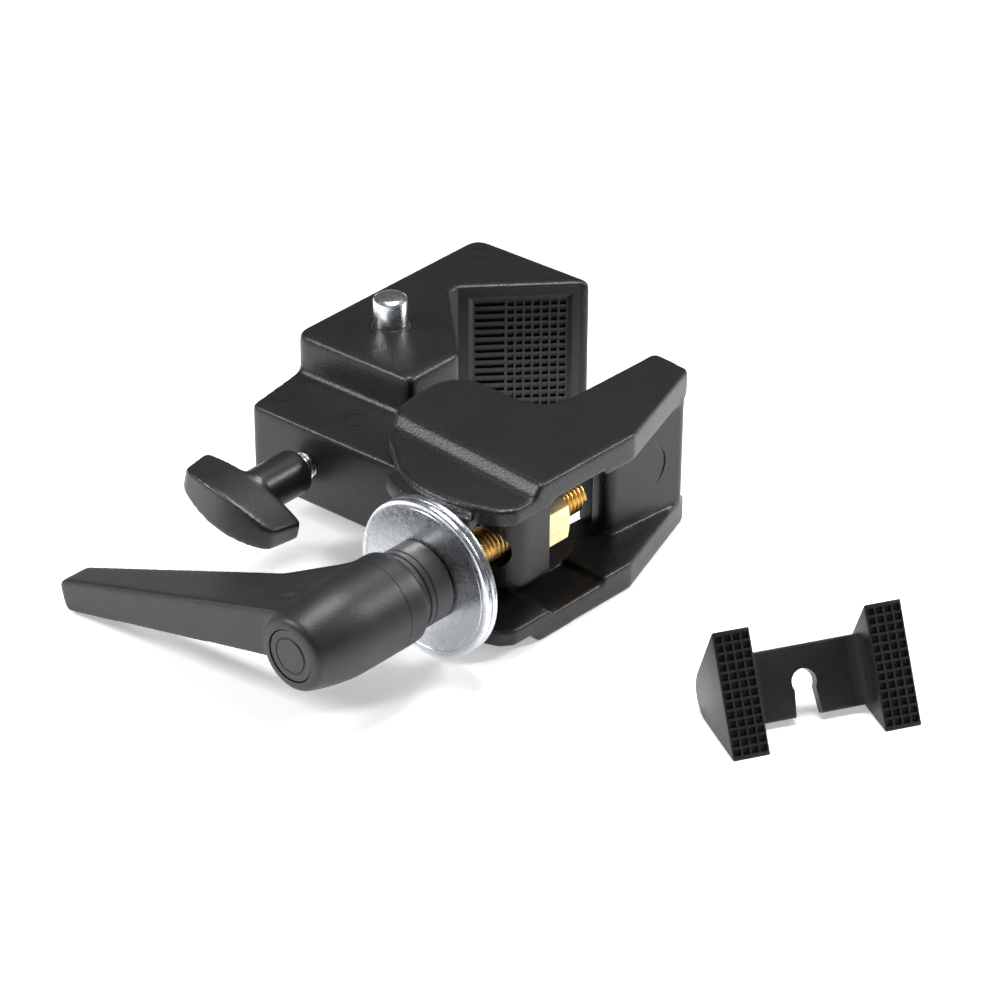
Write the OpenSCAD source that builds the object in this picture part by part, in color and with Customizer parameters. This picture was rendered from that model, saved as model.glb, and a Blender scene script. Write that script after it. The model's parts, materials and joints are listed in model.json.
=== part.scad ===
// Studio pipe clamp with a swinging jaw, a ratchet lever, a stud socket and a loose wedge insert.
// It lies on its broad side. +Z is up, and the lever screw runs along Y with the lever at -Y.
// Modules are drawn in a bench frame, whose z = 0 is the surface that the clamp lies on, and
// placed() then puts the origin at the middle of the stud socket's mouth.

/* [Body casting] */
// Height of the head and of the swinging jaw
body_h = 48; // [46:0.5:50]
// Height of the ledge, arm and knob boss
arm_h = 24; // [22:0.5:26]
// Front face of the ledge and arm
arm_front_y = 20.8; // [20:0.2:21.6]
// Width across the flats of the hexagonal stud socket
socket_af = 16.2; // [16:0.05:16.5]
// Depth of the stud socket
socket_depth = 34; // [28:1:36]

/* [Jaws] */
// Mouth width of the fixed V
vee_mouth = 56.4; // [52:0.2:58]
// Thickness of the plastic jaw pads
pad_t = 3; // [2.4:0.1:3.4]
// Pitch of the square grid on the gripping faces
grid_pitch = 2.5; // [2:0.1:3]
// Thickness of the swinging jaw's two flanges
flange_t = 8.2; // [7.6:0.1:8.6]
// Turn of the swinging jaw from square, seen from above
jaw_yaw = -3; // [-4:0.5:-2]
// Diameter of the jaw pivot pin
pivot_d = 8; // [6:0.5:9]

/* [Clamp screw and lever] */
// Diameter of the clamp screw
screw_d = 10; // [8:0.5:10]
// Turn of the clamp screw from square, seen from above
screw_yaw = -1.6; // [-2:0.1:-1]
// Diameter of the two steel thrust washers
washer_d = 44.6; // [42:0.2:45]
// Thickness of each steel thrust washer
washer_t = 1.8; // [1.6:0.1:1.9]
// Length of the lever arm from the screw axis
lever_l = 89.3; // [80:0.1:89.3]
// Fall of the lever arm below level
lever_fall = 14.8; // [12:0.2:14.8]
// Diameter of the lever hub
hub_d = 26; // [25:0.2:27]
// Number of ratchet teeth
teeth = 18; // [12:1:24]

/* [Stud knob and safety pin] */
// Span of the knob's wing
wing_l = 36; // [32:1:40]
// Diameter of the knob's thread
knob_screw_d = 8; // [6:0.5:8]
// Turn of the knob's wing from level
wing_tilt = 14; // [0:1:20]
// Diameter of the safety pin's head
pin_d = 9.7; // [9:0.1:10]
// Height of the safety pin above the head
pin_proud = 9; // [8:0.5:9.5]

/* [Wedge insert] */
// Length of the wedge insert over both prisms
wedge_l = 52; // [48:0.5:54]
// Height of each prism's gripping face
wedge_face = 33; // [30:0.5:35]
// Width of each prism
wedge_prism = 10.2; // [9:0.2:11]

/* [Hidden] */
$fn = 64;
e = 0.01;                              // overlap that keeps unions and cuts clean
mid_z = body_h / 2;
arm_lo = mid_z - arm_h / 2;
arm_hi = mid_z + arm_h / 2;

// Plan of the head
head_left = -87.8;
head_right = -44.6;
head_front = 43;
head_back = 122;
head_r = 4.5;
vee_y = 91.8;
vee_apex_flat = 4;
vee_depth = vee_mouth / 2 - vee_apex_flat / 2;
pad_margin = 0.8;
boss_left = -83.6;

// Arm that carries the screw and the pivot
nose_c = [-14, 38];
nose_r = 25;
arm_right = 11;
arm_end_r = 5.6;
arm_back = 56;
nut_wall_y = 35.6;
nut_pocket_half = 10.4;
slot_left = -2.6;                      // centres of the tilting slot's round ends, from the screw
slot_right = 2.2;

// Stud socket, its knob and its safety pin
socket_y = 52;
knob_x = -63.3;
knob_gap = 3;
pin_x = -70;
pin_y = 64;
pin_bore_r = 5.7;
bush_t = 3.2;

// Pivots of the jaw and of the screw
jaw_pivot = [-22, 40.5];
screw_pivot = [1.4, 41];
washer_gap = 0.3;
cam_r = 34;
cam_x = 20;
cam_ahead = 1.64;                      // how far the cam's centre lies in front of the screw's pivot
rib_h = 3.8;                           // height of the thrust ribs that bear on the washers
// Distances along the screw from its pivot; the lever is on the negative side
stack_back = -(cam_r + rib_h + cam_ahead) - washer_gap;
friction_t = 0.4;
stack_t = 2 * washer_t + friction_t;
stack_front = stack_back - stack_t;
bore_clear = 0.3;

// Ratchet and lever, as distances in front of the washers
nut_collar = 10.9;
nut_len = 26;
collar_r = 11.2;
tooth_r = 8.4;
tooth_depth = 0.9;
tooth_end = 17;
hub_len = 49.4;
hub_start = 11.3;
cap_r = 7.3;
cap_t = 2.4;
retainer_d = 5;
retainer_start = nut_len - 1.5;
arm_rise = 3.8;                        // the arm's middle line passes this far above the screw axis
arm_root = 7.6;                        // half heights of the arm
arm_tip = 4.6;

origin_at = [head_left, socket_y, mid_z];

// ---- placing ----

module placed() translate(-origin_at) children();

// Jaw parts: drawn about the pivot, squared up
module in_jaw() placed() translate([jaw_pivot[0], jaw_pivot[1], 0]) rotate(jaw_yaw) children();

// Screw parts: drawn along +Z, which becomes the screw axis with the lever end at -Z
module in_screw(v = 0) placed() translate([screw_pivot[0], screw_pivot[1], mid_z])
    rotate(screw_yaw) rotate([-90, 0, 0]) translate([0, 0, v]) children();

// Lever parts: +Z runs from the washers towards the lever's cap
module in_lever(s = 0) in_screw(stack_front) mirror([0, 0, 1]) translate([0, 0, s]) children();

// Points of an arc of radius r about c, from angle a to angle b
function arc(c, r, a, b, n = 8) = [for (i = [0:n]) c + r * [cos(a + (b - a) * i / n), sin(a + (b - a) * i / n)]];

module tube(ro, ri, h) difference() {
    cylinder(r = ro, h = h);
    translate([0, 0, -1]) cylinder(r = ri, h = h + 2);
}

// ---- body casting ----

module head_plan() difference() {
    polygon(concat(
        arc([head_left + head_r, head_front + head_r], head_r, 180, 270),
        arc([head_right - 1.5, head_front + 1.5], 1.5, 270, 360, 4),
        [[head_right, head_back - 1.5]],
        arc([head_right - 1.5, head_back - 1.5], 1.5, 0, 90, 4),
        arc([head_left + head_r, head_back - head_r], head_r, 90, 180)));
    vee_plan(0);
}

// The V notch, grown by g at right angles to its faces
module vee_plan(g) {
    reach = g * sqrt(2);
    half = vee_mouth / 2 + reach;
    flat = vee_apex_flat / 2 + g * tan(22.5);
    polygon([[head_right + 10, vee_y - half - 10], [head_right - vee_depth - g, vee_y - flat],
             [head_right - vee_depth - g, vee_y + flat], [head_right + 10, vee_y + half + 10]]);
}

module arm_plan() polygon(concat(
    [[head_left + 0.4, head_front + head_r], [boss_left, arm_front_y + 2]],
    arc([boss_left + 2, arm_front_y + 2], 2, 180, 270, 4),
    arc([arm_right - arm_end_r, arm_front_y + arm_end_r], arm_end_r, 270, 360),
    [[arm_right, nose_c[1]]],
    arc(nose_c, nose_r, 0, 46, 10),
    [[head_right - 2, arm_back]]));

module body_casting() color([0.07, 0.07, 0.08]) placed() difference() {
    union() {
        linear_extrude(body_h) head_plan();
        translate([0, 0, arm_lo]) linear_extrude(arm_h) arm_plan();
    }
    // seat of the jaw pad
    translate([0, 0, pad_margin]) linear_extrude(body_h - 2 * pad_margin) intersection() {
        vee_plan(pad_t);
        translate([head_right - 40, vee_y - vee_mouth / 2 + 1.2]) square([38.8, vee_mouth - 2.4]);
    }
    // hexagonal stud socket
    translate([head_left - 1, socket_y, mid_z]) rotate([0, 90, 0])
        cylinder(d = socket_af / cos(30), h = socket_depth + 1, $fn = 6);
    // threaded hole of the stud knob
    translate([knob_x, arm_front_y - 1, mid_z]) rotate([-90, 0, 0])
        cylinder(d = knob_screw_d + 0.1, h = socket_y - arm_front_y);
    // safety pin bore, through to the underside
    translate([pin_x, pin_y, -1]) cylinder(r = pin_bore_r, h = body_h + 2);
    // bore of the jaw pivot pin
    translate([jaw_pivot[0], jaw_pivot[1], 0]) cylinder(d = pivot_d + 0.1, h = body_h);
    // slot that lets the clamp screw tilt
    translate([screw_pivot[0], arm_front_y - 1, mid_z]) rotate([-90, 0, 0]) linear_extrude(40)
        union() {
            translate([slot_left, 0]) circle(d = screw_d + 1);
            translate([slot_right, 0]) circle(d = screw_d + 1);
            translate([slot_left, -(screw_d + 1) / 2]) square([slot_right - slot_left, screw_d + 1]);
        }
    // pocket of the nut, open to the mouth and to the right
    translate([screw_pivot[0] - nut_pocket_half, nut_wall_y, mid_z - nut_pocket_half])
        cube([40, 40, 2 * nut_pocket_half]);
}

// ---- jaw pads ----

pocket_w = 0.68 * grid_pitch;

// A grid of square pockets on the XY plane, cut d deep, centred
module pockets(nx, ny, d) for (i = [0:nx - 1], j = [0:ny - 1])
    translate([(i - nx / 2 + 0.5) * grid_pitch, (j - ny / 2 + 0.5) * grid_pitch, -d / 2])
        cube([pocket_w, pocket_w, d + e], center = true);

vee_face_l = (vee_mouth - vee_apex_flat) / 2 * sqrt(2);
grip_rows = 15;
grip_deep = 0.9;
strip_l = 8.4;                         // ribbed strip, and where it and the grid lie along a face
strip_at = 0.28 * vee_face_l;
grid_at = 0.63 * vee_face_l;

// Grip of one face of the V: a square grid with a ribbed strip towards the valley
module vee_grip() translate([head_right - vee_depth, vee_y + vee_apex_flat / 2, mid_z])
    rotate([0, 0, 45]) rotate([90, 0, 0]) {
        translate([grid_at, 0, 0]) pockets(7, grip_rows, grip_deep);
        for (j = [0:grip_rows - 1])
            translate([strip_at, (j - grip_rows / 2 + 0.5) * grid_pitch, -grip_deep / 2])
                cube([strip_l, grid_pitch * 0.5, grip_deep + e], center = true);
    }

module fixed_jaw_pad() color([0.1, 0.1, 0.1]) placed() difference() {
    translate([0, 0, pad_margin + 0.05]) linear_extrude(body_h - 2 * pad_margin - 0.1) intersection() {
        difference() {
            vee_plan(pad_t - 0.05);
            vee_plan(0);
        }
        translate([head_right - 40, vee_y - vee_mouth / 2 + 1.25]) square([38.75, vee_mouth - 2.5]);
    }
    vee_grip();
    translate([0, 2 * vee_y, 0]) mirror([0, 1, 0]) vee_grip();
}

module movable_jaw_pad() color([0.1, 0.1, 0.1]) in_jaw() {
    translate([0, 0, mid_z]) difference() {
        linear_extrude(body_h - 2 * flange_t - 0.6, center = true)
            polygon([[15.4, 28.6], [20.3, 28.6], [20.3, 57.4], [15.4, 57.4], [17.4, 46], [17.4, 40]]);
        translate([16.4, 34.3, 0]) rotate([0, 0, 9.9]) rotate([0, -90, 0]) pockets(11, 4, 0.7);
        translate([16.4, 51.7, 0]) rotate([0, 0, -9.9]) rotate([0, -90, 0]) pockets(11, 4, 0.7);
    }
}

// ---- swinging jaw ----

// Plan of a flange, about the pivot
module flange_plan() polygon(concat(
    arc([cam_x, 0], cam_r, 226, 293, 14),
    [[39.2, -29.2], [41.8, -25.6], [41.2, 21], [28.4, 57.2]],
    arc([26.4, 56.6], 2.2, 20, 80, 3),
    arc([16.6, 57.8], 1.8, 85, 180, 4),
    [[15, 28]],
    arc([5, 24.4], 9.9, 0, -85, 8),
    arc([-7, 4.4], 9.9, 90, 170, 8),
    [[-16.8, 0], [-16, -6.6], [-14.7, -11.6]],
    arc([3.4, -9.6], 16.6, 205, 226, 4)));

// The step down beside the washers
module step_plan() polygon([[-40, -40], [60, -40], [60, -17.2], [-40, -13.2]]);

module flange(z0, out) {
    difference() {
        translate([0, 0, z0]) linear_extrude(flange_t) flange_plan();
        // lower step in front
        translate([0, 0, out > 0 ? z0 + flange_t - 2.9 : z0 - 5]) linear_extrude(7.9) step_plan();
        // shallow relief over the arm's nose
        translate([0, 0, out > 0 ? z0 - 5 : z0 + flange_t - 1]) linear_extrude(6)
            polygon([[26, -11], [60, -11], [60, 10], [26, 10]]);
    }
}

module movable_jaw() color([0.07, 0.07, 0.08]) in_jaw() difference() {
    union() {
        flange(0, -1);
        flange(body_h - flange_t, 1);
        // wall that joins the flanges behind the pad
        translate([0, 0, flange_t - 1]) linear_extrude(body_h - 2 * flange_t + 2)
            polygon(concat([[20.4, 27.8], [24.6, 26.6]], arc([25.4, 29.4], 2.6, 270, 350, 4),
                           [[29.4, 52.4]], arc([27, 54.2], 2.6, 0, 90, 4), [[20.4, 57]]));
        // ribs that bear on the thrust washers
        for (z = [5, body_h - 10.5])
            translate([0, 0, z]) linear_extrude(5.5) polygon(concat(
                arc([cam_x, 0], cam_r + rib_h, 240, 292, 14), arc([cam_x, 0], cam_r - 3, 292, 240, 14)));
        // bosses around the pivot pin
        for (z = [flange_t - 1, arm_hi + 0.3])
            translate([0, 0, z]) cylinder(r = 9, h = arm_lo - 0.3 - flange_t + 1);
    }
    // pivot bore, open at the underside and blind at the top
    translate([0, 0, -1]) cylinder(d = pivot_d, h = body_h - 2.4);
}

module jaw_pivot_pin() color([0.75, 0.76, 0.78]) in_jaw()
    translate([0, 0, 0.6]) cylinder(d = pivot_d, h = body_h - 5);

// ---- clamp screw, its nut and the thrust washers ----

// A threaded rod: a core with closely spaced ridges of thread
module threaded_rod(d, pitch, len) {
    core = d / 2 - pitch * 0.61;
    cylinder(r = core, h = len);
    rotate_extrude() polygon(concat([[0, 0.4]], [for (i = [0:floor(len / pitch) - 2])
        each [[core, (i + 0.55) * pitch], [d / 2, (i + 0.95) * pitch], [d / 2, (i + 1.1) * pitch]]],
        [[core, (floor(len / pitch) - 0.45) * pitch], [0, (floor(len / pitch) - 0.45) * pitch]]));
}

screw_back = 17;
screw_front = stack_front - 9.4;

module clamp_screw() color([0.8, 0.6, 0.25]) in_screw(screw_front) union() {
    threaded_rod(screw_d, 1.5, screw_back - screw_front - 1.2);
    translate([0, 0, screw_back - screw_front - 1.6]) cylinder(r1 = screw_d / 2 - 0.9, r2 = screw_d / 2 - 2, h = 1.6);
}

module clamp_screw_nut() color([0.85, 0.7, 0.4]) in_screw(-4.4) difference() {
    rotate(30) cylinder(d = 17 / cos(30), h = 9, $fn = 6);
    translate([0, 0, -1]) cylinder(d = screw_d, h = 11);
}

module thrust_washer(v) in_screw(v) tube(washer_d / 2, screw_d / 2 + bore_clear, washer_t);

module rear_washer() color([0.8, 0.8, 0.82]) thrust_washer(stack_back - washer_t);
module front_washer() color([0.8, 0.8, 0.82]) thrust_washer(stack_front);
module friction_washer() color([0.2, 0.2, 0.22])
    in_screw(stack_front + washer_t) tube(washer_d / 2 - 1.2, screw_d / 2 + bore_clear, friction_t);

// ---- ratchet nut and lever ----

// Outline of a toothed wheel with tip radius r
function toothed(r) = [for (i = [0:teeth - 1], k = [0:3])
    let (a = 360 / teeth * (i + [0, 0.18, 0.5, 0.68][k]), q = r - (k < 2 ? 0 : tooth_depth))
    q * [cos(a), sin(a)]];

module ratchet_nut() color([0.35, 0.35, 0.37]) in_lever() difference() {
    union() {
        for (i = [0:2])
            translate([0, 0, i * nut_collar / 3]) cylinder(r = collar_r - 0.25 * i, h = nut_collar / 3 + e);
        linear_extrude(tooth_end) polygon(toothed(tooth_r));
        cylinder(r = 6.4, h = nut_len);
    }
    translate([0, 0, -1]) cylinder(d = screw_d + 0.1, h = retainer_start + 0.5);
    cylinder(d = retainer_d, h = nut_len + 1);
}

// Coil of round wire: radius r, wire radius w, length len and n turns
function ring_point(r, w, len, n, t, a) = let (q = r + w * cos(a))
    [q * cos(360 * n * t), q * sin(360 * n * t), w + (len - 2 * w) * t + w * sin(a)];

module coil(r, w, len, n) {
    steps = 14 * n;
    sides = 6;
    points = [for (i = [0:steps], k = [0:sides - 1]) ring_point(r, w, len, n, i / steps, 360 * k / sides)];
    faces = concat(
        [[for (k = [0:sides - 1]) k]],
        [for (i = [0:steps - 1], k = [0:sides - 1])
            [i * sides + k, (i + 1) * sides + k, (i + 1) * sides + (k + 1) % sides, i * sides + (k + 1) % sides]],
        [[for (k = [sides - 1:-1:0]) steps * sides + k]]);
    polyhedron(points, faces, convexity = 10);
}

spring_start = tooth_end + 1.2;
spring_len = 14;

module lever_spring() color([0.7, 0.7, 0.72]) in_lever(spring_start + 0.05) coil(7.25, 0.5, spring_len - 0.1, 6);

module spring_washer() color([0.75, 0.75, 0.77]) in_lever(spring_start + spring_len) tube(8.2, 3, 1.2);

module lever_retaining_screw() color([0.6, 0.6, 0.62]) in_lever() difference() {
    union() {
        translate([0, 0, retainer_start])
            cylinder(d = retainer_d, h = spring_start + spring_len + 1.2 - retainer_start + e);
        translate([0, 0, spring_start + spring_len + 1.2]) cylinder(r = 4.4, h = 3.4);
    }
    translate([0, 0, spring_start + spring_len + 3]) cylinder(d = 4.6, h = 4, $fn = 6);
}

// Barrel of the hub: its radius swells behind the arm and draws in at both ends
module hub_barrel() rotate_extrude() polygon([[0, hub_start], [hub_d / 2 - 0.5, hub_start],
    [hub_d / 2, hub_start + 1], [hub_d / 2, hub_len - 12], [10.1, hub_len - 1.2], [9.2, hub_len], [0, hub_len]]);

module lever() color([0.09, 0.09, 0.1]) in_lever() difference() {
    union() {
        hub_barrel();
        // arm, square across at its tip and deeper at the hub
        rotate(-lever_fall) mirror([1, 0, 0]) arm_blade();
    }
    // bore over the ratchet teeth, spring room and cap seat
    translate([0, 0, hub_start - 1]) linear_extrude(tooth_end - hub_start + 1 + e)
        polygon(toothed(tooth_r + 0.2));
    translate([0, 0, tooth_end]) cylinder(r = 6.7, h = 2);
    translate([0, 0, spring_start]) cylinder(r = 8.5, h = hub_len - spring_start - cap_t - 1.2);
    translate([0, 0, hub_len - cap_t]) cylinder(r = cap_r, h = cap_t + 1);
}

module arm_blade() intersection() {
    translate([0, -arm_rise, 0]) linear_extrude(80)
        polygon([[0, -arm_root], [lever_l - 1, -arm_tip], [lever_l, 1 - arm_tip], [lever_l, arm_tip - 1],
                 [lever_l - 1, arm_tip], [0, arm_root]]);
    translate([0, 20, 0]) rotate([90, 0, 0]) linear_extrude(40)
        polygon([[0, 22], [lever_l, 38.3], [lever_l, 48.3], [0, 48.6]]);
}

module lever_cap() color([0.09, 0.09, 0.1]) in_lever(hub_len - cap_t)
    cylinder(r = cap_r - 0.05, h = cap_t - 0.2);

// ---- safety pin ----

pin_travel = 8.5;
pin_foot = 14;

module at_pin() placed() translate([pin_x, pin_y, 0]) children();

module safety_pin() color([0.8, 0.8, 0.82]) at_pin() difference() {
    union() {
        translate([0, 0, pin_foot]) cylinder(r = pin_bore_r - 0.1, h = body_h - bush_t - pin_foot - 0.4);
        translate([0, 0, pin_foot]) cylinder(d = pin_d, h = body_h + pin_proud - pin_foot - 0.9);
        translate([0, 0, body_h + pin_proud - 0.9]) cylinder(d1 = pin_d, d2 = pin_d - 1.8, h = 0.9);
    }
    // waist that lets a stud pass while the pin is pressed
    translate([0, 0, mid_z + 4]) tube(8, 4, pin_travel + 1);
    translate([0, 0, pin_foot - 1]) cylinder(r = 4.2 - e, h = 12);
}

module safety_pin_bush() color([0.1, 0.1, 0.1]) at_pin()
    translate([0, 0, body_h - bush_t - 0.3]) tube(pin_bore_r, pin_d / 2 + 0.1, bush_t);

module safety_pin_spring() color([0.7, 0.7, 0.72]) at_pin() translate([0, 0, 3.55]) coil(3.3, 0.45, 21.3, 8);

module safety_pin_plug() color([0.1, 0.1, 0.1]) at_pin() translate([0, 0, 0.5]) cylinder(r = pin_bore_r, h = 3);

// ---- stud knob ----

module in_knob() placed() translate([knob_x, arm_front_y, mid_z]) rotate([90, 0, 0]) children();

// The wing from above: straight behind, crowned in front
module wing_plan() polygon(concat(
    [[-wing_l / 2, 21.6], [-wing_l / 2 + 1, 20.6], [wing_l / 2 - 1, 20.6], [wing_l / 2, 21.6]],
    arc([wing_l / 2 - 3.2, 29.4], 1.9, 0, 50, 3),
    arc([0, -22.2], 56, 75, 105, 10),
    arc([-wing_l / 2 + 3.2, 29.4], 1.9, 130, 180, 3)));

// The wing from the front: a lens with blunt ends
module wing_front() intersection() {
    translate([0, -45]) circle(r = 50.3, $fn = 128);
    translate([0, 45]) circle(r = 50.3, $fn = 128);
    square([wing_l, 12], center = true);
}

module stud_knob() color([0.09, 0.09, 0.1]) in_knob() difference() {
    union() {
        translate([0, 0, knob_gap]) cylinder(r = 6.5, h = 21 - knob_gap);
        rotate(-wing_tilt) intersection() {
            rotate([-90, 0, 0]) mirror([0, 1, 0]) linear_extrude(20, center = true) wing_plan();
            linear_extrude(40) wing_front();
        }
    }
    translate([0, 0, knob_gap - 1]) cylinder(d = knob_screw_d + 0.1, h = 14);
}

module stud_knob_screw() color([0.8, 0.8, 0.82]) placed()
    translate([knob_x, arm_front_y - knob_gap - 12.9, mid_z]) rotate([-90, 0, 0])
        cylinder(d = knob_screw_d, h = socket_y - socket_af / 2 - 0.5 - arm_front_y + knob_gap + 12.9);

// ---- wedge insert ----

wedge_at = [91.1, 11.2];
wedge_turn = 59.1;
wedge_rest = 58;                       // rise of the faces as the insert lies on one flank
wedge_flank = 58;                      // angle between a prism's face and its flanks
nose_in = 7.4;                         // rounding of the prism's ridge
plate_h = 18.4;
plate_t = 3.2;
plate_in = 8;                          // how far the plate lies behind the faces

// Section of a prism: x runs down the gripping face and y into the wedge
module prism_section() polygon(concat(
    [[0, 0], [wedge_face, 0]],
    arc([wedge_face / 2, wedge_face / 2 * tan(wedge_flank) - nose_in / cos(wedge_flank)],
        nose_in, 90 - wedge_flank, 90 + wedge_flank, 8)));

module wedge_insert() color([0.1, 0.1, 0.1]) placed()
    translate([wedge_at[0], wedge_at[1], 0]) rotate(wedge_turn) rotate([wedge_rest, 0, 0]) {
        // drawn with x along the insert, y up the gripping face and -z into the wedge
        difference() {
            union() {
                for (x = [0, wedge_l - wedge_prism]) translate([x, 0, 0])
                    rotate([0, 90, 0]) rotate(90) mirror([0, 1, 0]) linear_extrude(wedge_prism) prism_section();
                translate([wedge_prism - e, (wedge_face - plate_h) / 2, -plate_in - plate_t])
                    cube([wedge_l - 2 * wedge_prism + 2 * e, plate_h, plate_t]);
            }
            // keyhole notch
            translate([wedge_l / 2 - 0.6, wedge_face / 2 - 0.4, -14]) cylinder(r = 3.4, h = 10);
            translate([wedge_l / 2 - 0.6, 0, -14]) linear_extrude(10)
                polygon([[-4.6, 0], [4.6, 0], [2.9, wedge_face / 2 - 2], [-2.9, wedge_face / 2 - 2]]);
            // grid pockets
            for (x = [wedge_prism / 2, wedge_l - wedge_prism / 2])
                translate([x, wedge_face / 2, 0]) pockets(4, 13, 0.9);
        }
    }

body_casting();
fixed_jaw_pad();
movable_jaw();
movable_jaw_pad();
jaw_pivot_pin();
clamp_screw();
clamp_screw_nut();
rear_washer();
friction_washer();
front_washer();
ratchet_nut();
lever_spring();
spring_washer();
lever_retaining_screw();
lever();
lever_cap();
safety_pin();
safety_pin_bush();
safety_pin_spring();
safety_pin_plug();
stud_knob();
stud_knob_screw();
wedge_insert();
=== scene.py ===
import json
from math import atan2, cos, pi, radians, sin, sqrt, tan
import bmesh
import bpy
from mathutils import Matrix, Vector


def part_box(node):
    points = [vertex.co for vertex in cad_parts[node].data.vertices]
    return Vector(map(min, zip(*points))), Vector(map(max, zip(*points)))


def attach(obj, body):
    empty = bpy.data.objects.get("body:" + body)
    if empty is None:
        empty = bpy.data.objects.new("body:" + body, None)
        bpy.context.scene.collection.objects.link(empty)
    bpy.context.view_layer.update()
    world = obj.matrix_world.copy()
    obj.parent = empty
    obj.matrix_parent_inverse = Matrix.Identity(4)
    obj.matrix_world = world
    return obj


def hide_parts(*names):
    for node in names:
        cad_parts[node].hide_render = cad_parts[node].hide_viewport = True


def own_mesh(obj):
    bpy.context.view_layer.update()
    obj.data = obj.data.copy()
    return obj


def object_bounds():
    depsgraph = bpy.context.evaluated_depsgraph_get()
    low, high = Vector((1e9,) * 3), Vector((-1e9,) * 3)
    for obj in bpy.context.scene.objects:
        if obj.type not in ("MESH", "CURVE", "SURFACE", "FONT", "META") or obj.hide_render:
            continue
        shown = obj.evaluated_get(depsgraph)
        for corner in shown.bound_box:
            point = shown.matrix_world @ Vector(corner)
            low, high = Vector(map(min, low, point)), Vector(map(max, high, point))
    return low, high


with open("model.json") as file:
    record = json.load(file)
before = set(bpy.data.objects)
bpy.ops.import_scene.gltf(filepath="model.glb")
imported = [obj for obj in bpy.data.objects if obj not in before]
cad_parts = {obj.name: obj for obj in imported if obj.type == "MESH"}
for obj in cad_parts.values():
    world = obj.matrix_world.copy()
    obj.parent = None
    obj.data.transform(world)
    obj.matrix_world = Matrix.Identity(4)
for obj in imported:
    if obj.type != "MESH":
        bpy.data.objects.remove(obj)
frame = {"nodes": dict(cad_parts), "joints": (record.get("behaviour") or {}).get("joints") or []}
cad_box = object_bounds()


# ---- Table, light and camera ----
# The clamp lies on its broad side on a white table, inside a bright white tent. The tent is the
# world's light, with a softbox overhead and two strip lights that draw the long edge highlights.
# Lengths are in millimetres on the bench and turned into metres as each piece is placed.

MM = 0.001
table_z = cad_box[0][2]
casting_low, casting_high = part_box("body_casting")
# the bench's zero: on the table, 87.8 mm right of the head's left side and 20.8 mm behind the arm's front
BENCH = Vector((casting_low.x + 87.8 * MM, casting_low.y - 20.8 * MM, table_z))
on_bench = Matrix.Translation(BENCH) @ Matrix.Scale(MM, 4)

camera_turn = radians(39.85)
camera_tilt = radians(90 - 30.45)
camera_roll = radians(0.37)
camera_distance = 0.935
aim = on_bench @ Vector((7.49, 19.2, 40.9))
stance = (Matrix.Rotation(camera_turn, 4, "Z") @ Matrix.Rotation(camera_tilt, 4, "X")
          @ Matrix.Rotation(camera_roll, 4, "Z"))
camera = bpy.data.objects.new("camera", bpy.data.cameras.new("camera"))
camera.matrix_world = Matrix.Translation(aim) @ stance @ Matrix.Translation((0, 0, camera_distance))
camera.data.sensor_width = 36
camera.data.lens = 129.6
bpy.context.scene.collection.objects.link(camera)
bpy.context.scene.camera = camera

bpy.context.scene.view_settings.view_transform = "Standard"
tent = bpy.data.worlds.new("tent")
tent.use_nodes = True
tent.node_tree.nodes["Background"].inputs["Color"].default_value = (1, 1, 1, 1)
tent.node_tree.nodes["Background"].inputs["Strength"].default_value = 0.12
bpy.context.scene.world = tent


def softbox(name, place, size, power):
    """A rectangular soft light at a bench place, facing the clamp."""
    lamp = bpy.data.lights.new(name, "AREA")
    lamp.shape = "RECTANGLE"
    lamp.size, lamp.size_y = size
    lamp.energy = power
    light = bpy.data.objects.new(name, lamp)
    light.location = on_bench @ Vector(place)
    light.rotation_euler = (on_bench @ Vector((-10, 40, 20)) - light.location).to_track_quat("-Z", "Y").to_euler()
    bpy.context.scene.collection.objects.link(light)


softbox("top_softbox", (-60, 160, 700), (0.25, 0.25), 4.6)
softbox("front_strip", (-430, -400, 480), (0.08, 0.3), 4.2)
softbox("back_strip", (380, 560, 440), (0.08, 0.3), 4.2)


class Wire:
    """A shader socket that takes part in Python sums, each of which adds a Math node."""

    def __init__(self, socket):
        self.socket = socket

    def sum(self, operation, first, second):
        return Finish.add(self.socket.id_data, "ShaderNodeMath", {"operation": operation}, {0: first, 1: second})

    def __add__(self, other):
        return self.sum("ADD", self, other)

    def __sub__(self, other):
        return self.sum("SUBTRACT", self, other)

    def __rsub__(self, other):
        return self.sum("SUBTRACT", other, self)

    def __mul__(self, other):
        return self.sum("MULTIPLY", self, other)

    def __gt__(self, other):
        return self.sum("GREATER_THAN", self, other)

    __radd__ = __add__
    __rmul__ = __mul__


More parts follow.
